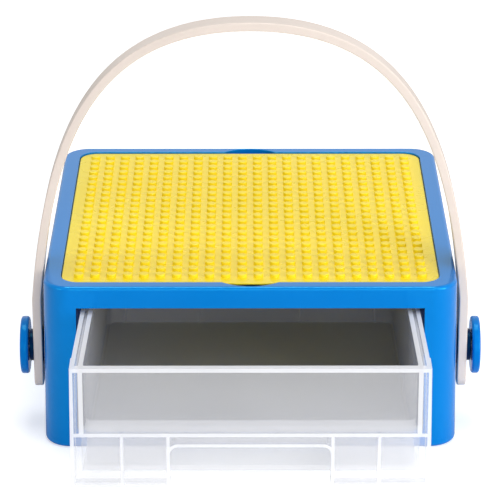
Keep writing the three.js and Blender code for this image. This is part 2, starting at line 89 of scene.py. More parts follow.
CAMERA_PLACE = (-0.0019, -1.3281, 0.5996)
CAMERA_FARTHEST = 30.0
CAMERA_DOWN, CAMERA_TURN = 21.91, -0.081
CAMERA_LENS, CAMERA_SENSOR = 198.1, 36.0


# Sizes and colours

def length(name, default, description):
    return FloatProperty(
        name=name, description=description, default=default, min=0.0, unit="LENGTH", precision=5
    )


def amount(name, default, least, description):
    return IntProperty(name=name, description=description, default=default, min=least)


def share(name, default, description):
    return FloatProperty(
        name=name, description=description, default=default, min=0.0, max=1.0, subtype="FACTOR"
    )


def level(name, default, description):
    return FloatProperty(name=name, description=description, default=default, min=0.0)


def colour(name, default, description):
    return FloatVectorProperty(
        name=name, description=description, default=default, size=3, min=0.0, max=1.0, subtype="COLOR"
    )


def power(name, default, description):
    return FloatProperty(name=name, description=description, default=default, min=0.0, unit="POWER")


class CaseHousingSizes(PropertyGroup):
    half_width: length("Half width", 0.1010, "From the middle to the side of the rim")
    half_depth: length("Half depth", CASE_HIGH.y, "From the middle to the front or the back")
    height: length("Height", CASE_HIGH.z, "From the table to the top of the rim")
    flare: length("Draft", 0.0011, "How much wider each side is at the table than at the rim")
    corner_radius: length("Corner radius", 0.013, "Radius of the upright corners")
    wall: length("Wall", 0.0026, "Thickness of the walls")
    top_fillet: length("Top rounding", 0.00175, "Rounding of the rim's outer edge")
    bottom_fillet: length("Bottom rounding", 0.0024, "Rounding of the edge on the table")
    rim_half: length("Rim opening", 0.0927, "From the middle to the inner face of the rim")
    rim_corner: length("Rim opening corner", 0.00935, "Radius of the rim opening's corners")
    rim_edge: length("Rim edge rounding", 0.0004, "Rounding of the rim's inner edge")
    ledge_half: length("Ledge opening", 0.0867, "From the middle to the edge of the plate's ledge")
    ledge_corner: length("Ledge corner", 0.004, "Radius of the ledge opening's corners")
    ledge_top: length("Ledge top", 0.0828, "Height of the ledge")
    ledge_bottom: length("Ledge underside", 0.0805, "Height of the ledge's underside")
    opening_half: length("Drawer opening", 0.0846, "From the middle to the side of the drawer opening")
    opening_bottom: length("Sill height", 0.0099, "Lower edge of the drawer opening")
    opening_top: length("Opening top", 0.0751, "Upper edge of the drawer opening")
    notch_depth: length("Notch depth", 0.0052, "How far a finger notch reaches into the rim")
    notch_half: length("Notch half width", 0.0137, "Half the width of a finger notch")
    post_radius: length("Post radius", 0.0045, "Radius of the posts that take the base screws")
    post_inset: length("Post inset", 0.0059, "From the wall's inner face to the middle of a post")
    post_bottom: length("Post underside", 0.0033, "Lower end of the posts")
    post_top: length("Post top", 0.0273, "Upper end of the posts")
    edge_softness: length("Edge softness", 0.0003, "Rounding of all other edges")


class StudPlateSizes(PropertyGroup):
    half: length("Half side", 0.09235, "From the middle to the plate's edge")
    corner_radius: length("Corner radius", 0.009, "Radius of the plate's corners")
    bottom: length("Underside", PLATE_LOW.z, "Height of the plate's underside")
    top: length("Board top", 0.0853, "Height of the board between the studs")
    edge: length("Edge rounding", 0.0004, "Rounding of the board's upper edge")
    tab_reach: length("Tab reach", 0.0004, "How far the finger tab stands out at the front")
    tab_thickness: length("Tab thickness", 0.0007, "Thickness of the finger tab")
    tab_slope: length("Tab slope", 0.0002, "Height of the slope under the finger tab")
    tab_recess: length("Tab recess", 0.0030, "How far the board's edge is cut back under the finger tab")
    tab_half: length("Tab half width", 0.0129, "Half the width of the finger tab")
    studs_per_side: amount("Studs per side", 22, 1, "Rows and columns of studs")
    stud_pitch: length("Stud pitch", 0.008, "From one stud's middle to the next")
    stud_radius: length("Stud radius", 0.00245, "Radius of a stud")
    stud_top: length("Stud top", PLATE_HIGH.z, "Height of the studs' tops")
    stud_edge: length("Stud rounding", 0.00035, "Rounding of a stud's upper edge")
    stud_sides: amount("Stud sides", 14, 6, "Points round a stud")


class DrawerSizes(PropertyGroup):
    edge_softness: length("Edge softness", 0.0004, "Rounding of the drawer's edges")
    line_softness: length("Line softness", 0.0004, "How softly the walls behind the skin show in it")
    side_wall: length("Side wall", 0.0021, "Thickness of the skin's side walls")
    tub_half: length("Tub half width", 0.0804, "From the middle to the outside of the tub")
    tub_wall: length("Tub wall", 0.0022, "Thickness of the tub's walls")
    rim_height: length("Rim height", 0.0020, "Height of the thick rim at the skin's top")
    return_height: length("Return height", 0.0015, "Height of the thick edge at the skin's bottom")
    shelf_top: length("Shelf top", 0.0390, "Height of the shelf")
    shelf_thickness: length("Shelf thickness", 0.0018, "Thickness of the shelf")
    rib_place: length("Rib place", 0.0605, "From the middle to a rib")
    rib_thickness: length("Rib thickness", 0.0014, "Thickness of a rib")
    pocket_half: length("Pocket half width", 0.0379, "Half the width of the finger pocket")
    pocket_height: length("Pocket height", 0.0210, "Height of the finger pocket")
    pocket_radius: length("Pocket corner radius", 0.0040, "Radius of the finger pocket's corners")
    pocket_wall: length("Pocket wall", 0.0016, "Thickness of the finger pocket's walls")


class StrapSizes(PropertyGroup):
    outer: length("Outer face", STRAP_HIGH.x, "From the middle to the outer face of a leg")
    thickness: length("Thickness", 0.0044, "Thickness of the strap")
    end: length("Leg end", STRAP_LOW.z, "Height of the legs' lower ends")
    bend: length("Bend start", 0.070, "Height at which the legs start to lean inwards")
    top: length("Top", STRAP_HIGH.z, "Height of the crown")
    leg_pull: length("Leg pull", 0.082, "How far the arch follows the leg's direction")
    leg_lean: length("Leg lean", 0.0074, "How far the leg's direction leans inwards")
    crown_pull: length("Crown pull", 0.078, "How far the arch stays flat at the crown")
    leg_half: length("Leg half width", 0.011, "Half the width of a leg")
    crown_half: length("Crown half width", 0.006, "Half the width of the crown")
    narrow_from: length("Narrowing start", 0.084, "Height at which the strap starts to narrow")
    narrow_to: length("Narrowing end", 0.168, "Height at which it has the crown's width")
    end_radius: length("End rounding", 0.006, "Radius of the corners at a leg's end")
    eye_radius: length("Eye radius", 0.0083, "Radius of the hole that turns on the bush")
    edge_softness: length("Edge softness", 0.0009, "Rounding of the strap's edges")


class PivotSizes(PropertyGroup):
    knob_radius: length("Knob radius", 0.0144, "Radius of a knob")
    knob_rounding: length("Knob rounding", 0.0012, "Rounding of a knob's edges")
    dish_radius: length("Dish radius", 0.0098, "Radius of the shallow dish in a knob's outer face")
    dish_depth: length("Dish depth", 0.0006, "Depth of the shallow dish")
    neck_radius: length("Neck radius", 0.008, "Radius of the neck that the strap turns on")
    flange_radius: length("Flange radius", 0.010, "Radius of the bush's flange")
    flange_outer: length("Flange face", 0.1031, "From the middle to the flange's outer face")
    bore_radius: length("Bore radius", 0.0023, "Radius of the screw's hole in a bush and a knob")


class CaseColours(PropertyGroup):
    shell_blue: colour("Shell blue", (0.0, 0.180, 0.62), "Glossy blue of the case")
    knob_blue: colour("Knob blue", (0.0, 0.170, 0.58), "Glossy blue of the knobs")
    blue_sheen: colour("Blue sheen", (0.05, 0.75, 1.0), "Colour of the reflections on the blue pieces")
    # A darker copy of the case's blue for the bottom cover and the guides: painted shade for the bay that
    # they sit in
    inner_blue: colour("Inner blue", (0.001, 0.05, 0.24), "Satin blue of the bottom cover and the guides")
    bush_navy: colour("Bush navy", (0.0, 0.010, 0.085), "Dark blue of the bushes")
    stud_yellow: colour("Plate yellow", (1.0, 0.78, 0.02), "Yellow of the studded plate")
    strap_cream: colour("Strap cream", (0.74, 0.645, 0.58), "Cream of the handle")
    frosted_white: colour("Frosted white", (0.90, 0.91, 0.95), "Haze of the frosted drawer")
    frosted_veil: share("Frosted veil", 0.23, "How much one face of the drawer hides")
    frosted_floor: share("Frosted floor", 0.34, "How much a floor of the drawer hides")
    frosted_edge: share("Frosted edge", 0.78, "How much an edge or a rim of the drawer hides")
    steel_grey: colour("Steel grey", (0.55, 0.56, 0.58), "Zinc plated steel of the screws and washers")


class StudioSettings(PropertyGroup):
    floor_half: length("Floor half size", 6.0, "From the middle to the edge of the floor")
    floor_white: colour("Floor white", (0.90, 0.90, 0.90), "Colour of the floor")
    floor_glow: level("Floor glow", 0.5, "White that the camera sees on top of the floor's own colour")
    sky_level: level("Sky level", 0.30, "Even light from all round")
    top_power: power("Top light", 10.0, "Power of the light overhead")
    key_power: power("Key light", 6.0, "Power of the light above the camera's right")
    right_power: power("Right light", 7.0, "Power of the low light at the right")
    left_power: power("Left light", 2.0, "Power of the light at the left")
    front_power: power("Front light", 7.0, "Power of the light under the camera")


# Surfaces

def grid_faces(rows, columns, close_rows=False, close_columns=False):
    """Quads between the neighbouring points of a grid that is numbered row by row: a cell's corners are its
    own point, the next along the row, the one after that in the next row, and the one below its own."""
    row_cells = np.arange(rows if close_rows else rows - 1)
    column_cells = np.arange(columns if close_columns else columns - 1)
    row, column = np.meshgrid(row_cells, column_cells, indexing="ij")
    above, below, beside = row * columns, (row + 1) % rows * columns, (column + 1) % columns
    return np.stack([above + column, above + beside, below + beside, below + column], -1).reshape(-1, 4)


def strip_faces(one, other, close=False):
    """Quads between two lines of point numbers of the same length: each joins a pair to the next pair."""
    if close:
        one, other = np.append(one, one[0]), np.append(other, other[0])
    return np.stack([one[:-1], one[1:], other[1:], other[:-1]], -1)


def frame_path(front, side, corner_steps):
    """The way round a rectangle with round corners, as four numbers a point: the share of the half width and
    half depth at which the corner centre's rectangle is met, and the direction in which the corner radius
    points. The front and the back run through the shares given, the sides through theirs, and each corner is
    a quarter circle from one to the next."""
    turn = np.linspace(0, np.pi / 2, corner_steps + 1)
    parts = []
    for shares, start in ((front, -0.5), (side, 0.0), (front, 0.5), (side, 1.0)):
        angle = start * np.pi
        out = np.array([np.cos(angle), np.sin(angle)])
        along = np.array([-np.sin(angle), np.cos(angle)])
        places = out + np.sort(shares)[:, None] * along
        parts.append(np.hstack([places, np.tile(out, (len(places), 1))]))
        bend = angle + turn
        centre = np.tile(np.sign(np.round(out + along, 6)), (len(turn), 1))
        parts.append(np.hstack([centre, np.cos(bend)[:, None], np.sin(bend)[:, None]]))
    return np.vstack(parts)


def front_places(close, close_steps, wide_steps):
    """Places along a straight front, from left to right: close together over the stretch of a bulge in the
    middle, and wide apart on both sides of it."""
    wide = np.linspace(WIDE_FROM, WIDE_TO, wide_steps)
    return np.concatenate([-wide[::-1], np.linspace(-close, close, close_steps), wide])


def framed(path, half_x, half_y, radius, height):
    """Points of a path round a rectangle at each level, as rows along the path and columns along the levels:
    the path's shares times what is left of the half sizes beside the corner radius, plus the radius in the
    path's direction."""
    x = path[:, 0:1] * (half_x - radius) + path[:, 2:3] * radius
    y = path[:, 1:2] * (half_y - radius) + path[:, 3:4] * radius
    return np.stack([x, y, np.broadcast_to(height, x.shape)], -1)


def segment_reach(x, half, reach):
    """How far a round bulge stands out at x: the circle through both its ends and its farthest point, less
    the line that joins the ends, and nothing beyond them."""
    radius = (half * half + reach * reach) / (2 * reach)
    inside = np.clip(radius * radius - x * x, 0, None)
    return np.where(np.abs(x) < half, np.clip(np.sqrt(inside) - radius + reach, 0, None), 0.0)


def turned_points(profile, side, steps):
    """A profile of distances from the pivot's axis and distances from the case's middle, carried once round
    the axis: the distance along stays, and the radius turns through the circle's cosine and sine."""
    angle = np.arange(steps) * (2 * np.pi / steps)
    radius, along = np.asarray(profile).T
    y = PIVOT_Y + np.outer(np.cos(angle), radius)
    z = PIVOT_Z + np.outer(np.sin(angle), radius)
    x = np.broadcast_to(side * along, y.shape)
    return np.stack([x, y, z], -1).reshape(-1, 3)


def upright_rings(angle, radius, height):
    """A profile of distances from an upright axis and heights, at each angle round the axis: the height
    stays, and the radius turns through the circle's cosine and sine."""
    x, y = np.outer(np.cos(angle), radius), np.outer(np.sin(angle), radius)
    return np.stack([x, y, np.broadcast_to(height, x.shape)], -1)


def quarter(centre, radius, start, steps=4):
    """Points on a quarter circle from the start angle in degrees, as distance from the axis and along it."""
    angle = np.radians(start + np.linspace(0, 90, steps + 1))
    return [(centre[0] + radius * c, centre[1] + radius * s) for c, s in zip(np.cos(angle), np.sin(angle))]


def cubic(knots, t):
    """A cubic curve from the first knot to the last, pulled towards the two between them: the sum of the
    knots, each times its powers of t and of what is left of one."""
    rest = 1 - t
    first_half = knots[0] * rest ** 3 + 3 * knots[1] * rest ** 2 * t
    return first_half + 3 * knots[2] * rest * t ** 2 + knots[3] * t ** 3


def cubic_direction(knots, t):
    """The same curve's derivative: a curve of one degree less through three times the knots' differences."""
    rest = 1 - t
    first, second, third = np.diff(knots, axis=0)
    return 3 * (first * rest ** 2 + 2 * second * rest * t + third * t ** 2)


def new_object(name, data):
    """An object at the origin, linked into the scene."""
    made = bpy.data.objects.new(name, data)
    bpy.context.scene.collection.objects.link(made)
    return made


def add_piece(name, points, faces, body, replaced, slot, softness=0.0, segments=2, smooth_angle=None):
    """Puts arrays of points and faces into a mesh, closes its seams, points its faces outwards, and makes it
    a piece."""
    mesh = bpy.data.meshes.new(name)
    mesh.from_pydata(points.tolist(), [], [face for block in faces for face in block.tolist()])
    work = bmesh.new()
    work.from_mesh(mesh)
    bmesh.ops.remove_doubles(work, verts=work.verts, dist=SEAM)
    bmesh.ops.recalc_face_normals(work, faces=work.faces)
    work.to_mesh(mesh)
    work.free()
    return place_piece(name, mesh, body, replaced, slot, softness, segments, smooth_angle)


def place_piece(name, mesh, body, replaced, slot, softness=0.0, segments=2, smooth_angle=None):
    """Gives a mesh its slot's finish and soft edges, and makes it a piece that rides on a body and stands for
    its CAD nodes."""
    mesh.materials.clear()
    mesh.materials.append(material_of(slot))
    mesh.shade_smooth()
    if smooth_angle is not None:
        mesh.set_sharp_from_angle(angle=math.radians(smooth_angle))
    piece = new_object(name, mesh)
    if softness > 0:
        soft = piece.modifiers.new("Soft edges", "BEVEL")
        soft.width = softness
        soft.segments = segments
        soft.limit_method = "ANGLE"
        soft.angle_limit = math.radians(SOFT_FROM)
        soft.use_clamp_overlap = True
    flat = piece.modifiers.new("Flat faces", "WEIGHTED_NORMAL")
    flat.keep_sharp = True
    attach(piece, body)
    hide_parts(*replaced)
    return piece


# Materials

def new_material(name):
    material = bpy.data.materials.new(name)
    material.use_nodes = True
    tree = material.node_tree
    return material, tree, tree.nodes["Principled BSDF"]


def set_inputs(node, values):
    """Writes numbers and colours into a node's own sockets, by name."""
    for name, value in values.items():
        node.inputs[name].default_value = value


def noise(tree, scale, detail=2.0, stretch=None):
    """Noise on the piece's own place in space, optionally stretched along an axis."""
    place = tree.nodes.new("ShaderNodeTexCoord").outputs["Object"]
    if stretch is not None:
        mapping = tree.nodes.new("ShaderNodeMapping")
        set_inputs(mapping, {"Scale": stretch})
        tree.links.new(place, mapping.inputs["Vector"])
        place = mapping.outputs["Vector"]
    texture = tree.nodes.new("ShaderNodeTexNoise")
    set_inputs(texture, {"Scale": scale, "Detail": detail})
    tree.links.new(place, texture.inputs["Vector"])
    return texture.outputs["Fac"]


def varied(tree, factor, low, high, socket):
    """Carries a noise between two values into a socket."""
    span = tree.nodes.new("ShaderNodeMapRange")
    set_inputs(span, {"From Min": NOISE_LOW, "From Max": NOISE_HIGH, "To Min": low, "To Max": high})
    tree.links.new(factor, span.inputs["Value"])
    tree.links.new(span.outputs["Result"], socket)


def tinted(tree, factor, base, change, socket):
    """Lets a colour drift between a slightly darker and a slightly lighter tone of itself."""
    ramp = tree.nodes.new("ShaderNodeValToRGB")
    ramp.color_ramp.elements[0].position = NOISE_LOW
    ramp.color_ramp.elements[1].position = NOISE_HIGH
    ramp.color_ramp.elements[0].color = (*[c * (1 - change) for c in base], 1)
    ramp.color_ramp.elements[1].color = (*[min(1.0, c * (1 + change) + 0.002) for c in base], 1)
    tree.links.new(factor, ramp.inputs["Fac"])
    tree.links.new(ramp.outputs["Color"], socket)


def bumped(tree, shader, factor, distance):
    """Lets a noise raise the surface by at most the distance."""
    bump = tree.nodes.new("ShaderNodeBump")
    set_inputs(bump, {"Strength": 1.0, "Distance": distance})
    tree.links.new(factor, bump.inputs["Height"])
    tree.links.new(bump.outputs["Normal"], shader.inputs["Normal"])


def moulded_plastic(name, base, low, high, drift, grain_scale, grain_depth, specular, sheen):
    """Moulded plastic: its tone drifts a little, its gloss is uneven and its skin has a fine grain. The sheen
    is the colour of what it reflects."""
    material, tree, shader = new_material(name)
    tinted(tree, noise(tree, 14.0, 3.0), base, drift, shader.inputs["Base Color"])
    varied(tree, noise(tree, 60.0, 4.0), low, high, shader.inputs["Roughness"])
    bumped(tree, shader, noise(tree, grain_scale), grain_depth)
    set_inputs(shader, {"Specular IOR Level": specular, "Specular Tint": (*sheen, 1)})
    return material


def frosted_plastic(name, base, veil):
    """Frosted polypropylene: a milky veil that lets part of what is behind it through, with a satin skin."""
    material, tree, shader = new_material(name)
    tinted(tree, noise(tree, 30.0, 3.0), base, 0.02, shader.inputs["Base Color"])
    varied(tree, noise(tree, 90.0, 2.0), 0.34, 0.42, shader.inputs["Roughness"])
    varied(tree, noise(tree, 12.0, 1.0), veil * 0.97, veil * 1.03, shader.inputs["Alpha"])
    bumped(tree, shader, noise(tree, 1800.0, 1.0), 0.000002)
    set_inputs(shader, {"Specular IOR Level": 0.25})
    return material


def calculated(tree, operation, *values):
    """One step of arithmetic on sockets and numbers."""
    step = tree.nodes.new("ShaderNodeMath")
    step.operation = operation
    for socket, value in zip(step.inputs, values):
        if isinstance(value, bpy.types.NodeSocket):
            tree.links.new(value, socket)
        else:
            socket.default_value = value
    return step.outputs["Value"]


def band(tree, place, low, high, soft):
    """One between two places and zero outside them, with soft ends."""
    middle, half = (low + high) / 2, (high - low) / 2
    away = calculated(tree, "ABSOLUTE", calculated(tree, "SUBTRACT", place, middle))
    span = tree.nodes.new("ShaderNodeMapRange")
    span.interpolation_type = "SMOOTHSTEP"
    set_inputs(span, {"From Min": half + soft / 2, "From Max": half - soft / 2})
    tree.links.new(away, span.inputs["Value"])
    return span.outputs["Result"]


def beyond(tree, place, edge):
    """How far a place lies beyond an edge, and zero before it."""
    return calculated(tree, "MAXIMUM", calculated(tree, "SUBTRACT", place, edge), 0.0)


def pocket_band(tree, across, up, sizes, bottom):
    """The wall round the finger pocket: a band of the distance from the corner circles' centres."""
    radius = sizes.pocket_radius
    beside = beyond(tree, across, sizes.pocket_half - radius)
    above = beyond(tree, up, bottom + sizes.pocket_height - radius)
    squares = [calculated(tree, "POWER", reach, 2.0) for reach in (beside, above)]
    distance = calculated(tree, "SQRT", calculated(tree, "ADD", *squares))
    return band(tree, distance, radius, radius + sizes.pocket_wall, sizes.line_softness)


def pocket_riser(tree, across, up, sizes, bottom):
    """The two upright lines from the pocket's sides to the shelf, drawn in the skin alone."""
    soft = sizes.line_softness
    upright = band(tree, across, sizes.pocket_half, sizes.pocket_half + sizes.pocket_wall, soft)
    start = bottom + sizes.pocket_height - sizes.pocket_radius
    return calculated(tree, "MULTIPLY", upright, band(tree, up, start, sizes.shelf_top, soft))


def frosted_front(name, colours, sizes):
    """The drawer's skin: frosted plastic that looks whiter wherever a wall, the shelf, a rib or a rim stands
    behind it, and along the two lines over the pocket."""
    material = frosted_plastic(name, colours.frosted_white, colours.frosted_veil)
    tree = material.node_tree
    low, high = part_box("drawer_tub")
    soft = sizes.line_softness
    split = tree.nodes.new("ShaderNodeSeparateXYZ")
    tree.links.new(tree.nodes.new("ShaderNodeTexCoord").outputs["Object"], split.inputs["Vector"])
    across, up = calculated(tree, "ABSOLUTE", split.outputs["X"]), split.outputs["Z"]
    shelf_low = sizes.shelf_top - sizes.shelf_thickness
    above_shelf = band(tree, up, shelf_low, high.z + soft, soft)
    below_shelf = band(tree, up, low.z - soft, sizes.shelf_top, soft)
    half_rib = sizes.rib_thickness / 2
    rib = band(tree, across, sizes.rib_place - half_rib, sizes.rib_place + half_rib, soft)
    tub = band(tree, across, sizes.tub_half - sizes.tub_wall, sizes.tub_half, soft)
    walls = [
        band(tree, across, high.x - sizes.side_wall, high.x + soft, soft),
        band(tree, up, high.z - sizes.rim_height, high.z + soft, soft),
        band(tree, up, low.z - soft, low.z + sizes.return_height, soft),
        band(tree, up, shelf_low, sizes.shelf_top, soft),
        calculated(tree, "MULTIPLY", tub, above_shelf),
        calculated(tree, "MULTIPLY", rib, below_shelf),
        pocket_band(tree, across, up, sizes, low.z),
        pocket_riser(tree, across, up, sizes, low.z),
    ]
    mask = walls[0]
    for wall in walls[1:]:
        mask = calculated(tree, "MAXIMUM", mask, wall)
    clear, hidden = colours.frosted_veil, colours.frosted_edge
    veil = calculated(tree, "MULTIPLY_ADD", mask, hidden - clear, clear)
    tree.links.new(veil, tree.nodes["Principled BSDF"].inputs["Alpha"])
    return material


def zinc_steel(name, base):
    """Zinc plated steel: brushed lines, a little mottled."""
    material, tree, shader = new_material(name)
    tinted(tree, noise(tree, 900.0, 3.0), base, 0.08, shader.inputs["Base Color"])
    varied(tree, noise(tree, 500.0, 4.0, (1.0, 1.0, 9.0)), 0.28, 0.42, shader.inputs["Roughness"])
    bumped(tree, shader, noise(tree, 1500.0, 2.0, (1.0, 1.0, 9.0)), 0.00001)
    set_inputs(shader, {"Metallic": 1.0})
    return material


# Lowest and highest roughness, drift of the tone, scale and depth of the grain, and strength of the
# reflections of each moulded plastic, and those plastics whose reflections are blue

PLASTICS = {
    "shell_blue": (0.06, 0.10, 0.02, 420.0, 0.000008, 0.9),
    "knob_blue": (0.09, 0.14, 0.03, 420.0, 0.000006, 0.3),
    # the bottom cover's and the guides' darker blue carries painted shade for the bay
    "inner_blue": (0.42, 0.52, 0.06, 900.0, 0.00003, 0.4),
    "bush_navy": (0.16, 0.24, 0.08, 900.0, 0.00001, 0.15),
    "stud_yellow": (0.24, 0.32, 0.025, 500.0, 0.000008, 0.45),
    "strap_cream": (0.30, 0.40, 0.025, 1200.0, 0.00002, 0.5),
}
BLUE_REFLECTIONS = ("shell_blue", "knob_blue", "bush_navy")
DRAWER_FINISHES = ("frosted", "frosted_edge", "frosted_floor", "frosted_front")


def material_of(slot):
    """The finish of a material slot, made once."""
    name = f"{slot}_finish"
    found = bpy.data.materials.get(name)
    if found:
        return found
    colours = bpy.context.scene.carry_case_colours
    if slot in PLASTICS:
        sheen = colours.blue_sheen if slot in BLUE_REFLECTIONS else (1, 1, 1)
        return moulded_plastic(name, getattr(colours, slot), *PLASTICS[slot], sheen)
    if slot == "frosted_front":
        return frosted_front(name, colours, bpy.context.scene.carry_case_drawer)
    if slot in DRAWER_FINISHES:
        veil = colours.frosted_veil if slot == "frosted" else getattr(colours, slot)
        return frosted_plastic(name, colours.frosted_white, veil)
    if slot == "steel":
        return zinc_steel(name, colours.steel_grey)
    raise ValueError(f"there is no finish for the slot {slot}")


# Operators

class OBJECT_OT_carry_case_camera(Operator):
    """Add the camera at the photograph's viewing angle"""

    bl_idname = "object.carry_case_camera"
    bl_label = "Camera"

    def execute(self, context):
        data = bpy.data.cameras.new("studio_camera")
        data.sensor_width = CAMERA_SENSOR
        data.lens = CAMERA_LENS
        data.clip_end = CAMERA_FARTHEST
        camera = new_object("studio_camera", data)
        camera.location = CAMERA_PLACE
        camera.rotation_euler = (math.radians(90 - CAMERA_DOWN), 0.0, math.radians(CAMERA_TURN))
        context.scene.camera = camera
        return {"FINISHED"}


class OBJECT_OT_carry_case_stage(Operator):
    """Add the pale floor, the soft lights and the white surroundings"""

    bl_idname = "object.carry_case_stage"
    bl_label = "Stage"

    def execute(self, context):
        studio = context.scene.carry_case_studio
        self.add_floor(studio)
        self.add_lights(studio)
        self.set_sky(context, studio)
        context.scene.view_settings.view_transform = "Standard"
        return {"FINISHED"}

    def add_floor(self, studio):
        """One wide face, which shows the camera more white than it throws on the object."""
        half = studio.floor_half
        corners = [(-half, -half, 0), (half, -half, 0), (half, half, 0), (-half, half, 0)]
        mesh = bpy.data.meshes.new("studio_floor")
        mesh.from_pydata(corners, [], [(0, 1, 2, 3)])
        material, tree, shader = new_material("studio_floor")
        tinted(tree, noise(tree, 2.0), studio.floor_white, 0.004, shader.inputs["Base Color"])
        set_inputs(shader, {"Roughness": 0.85, "Specular IOR Level": 0.1, "Emission Color": WHITE})
        path = tree.nodes.new("ShaderNodeLightPath")
        seen = calculated(tree, "MULTIPLY", path.outputs["Is Camera Ray"], studio.floor_glow)
        tree.links.new(seen, shader.inputs["Emission Strength"])
        mesh.materials.append(material)
        floor = new_object("studio_floor", mesh)

    def add_lights(self, studio):
        """Square lamps, each with its place, the point it is aimed at, its side length and its power."""
        lights = (
            ("light_top", (0.0, 0.1, 1.6), (0, 0, 0.05), 0.7, studio.top_power),
            ("light_key", (0.7, -1.25, 1.55), (0, 0, 0.06), 0.9, studio.key_power),
            ("light_right", (0.9, -0.75, 0.3), (0.03, 0, 0.05), 0.6, studio.right_power),
            ("light_left", (-0.9, -0.9, 0.3), (0, 0, 0.05), 0.4, studio.left_power),
            ("light_front", (0.2, -2.2, 0.5), (0, 0, 0.05), 1.0, studio.front_power),
        )
        for name, place, target, size, power in lights:
            data = bpy.data.lights.new(name, "AREA")
            data.size = size
            data.energy = power
            light = new_object(name, data)
            light.location = place
            aim = np.subtract(target, place)
            flat = math.hypot(aim[0], aim[1])
            light.rotation_euler = (math.atan2(flat, -aim[2]), 0.0, math.atan2(-aim[0], aim[1]))

    def set_sky(self, context, studio):
        """Even light for the object, and full white for what the camera, reflections and clear parts see."""
        world = bpy.data.worlds.new("studio_sky")
        world.use_nodes = True
        tree = world.node_tree
        even = tree.nodes["Background"]
        set_inputs(even, {"Color": WHITE, "Strength": studio.sky_level})
        seen = tree.nodes.new("ShaderNodeBackground")
        set_inputs(seen, {"Color": WHITE, "Strength": 1.0})
        path = tree.nodes.new("ShaderNodeLightPath").outputs
        through = calculated(tree, "MAXIMUM", path["Is Glossy Ray"], path["Is Transmission Ray"])
        either = calculated(tree, "MAXIMUM", path["Is Camera Ray"], through)
        mix = tree.nodes.new("ShaderNodeMixShader")
        tree.links.new(either, mix.inputs["Fac"])
        tree.links.new(even.outputs["Background"], mix.inputs[1])
        tree.links.new(seen.outputs["Background"], mix.inputs[2])
        tree.links.new(mix.outputs["Shader"], tree.nodes["World Output"].inputs["Surface"])
        context.scene.world = world


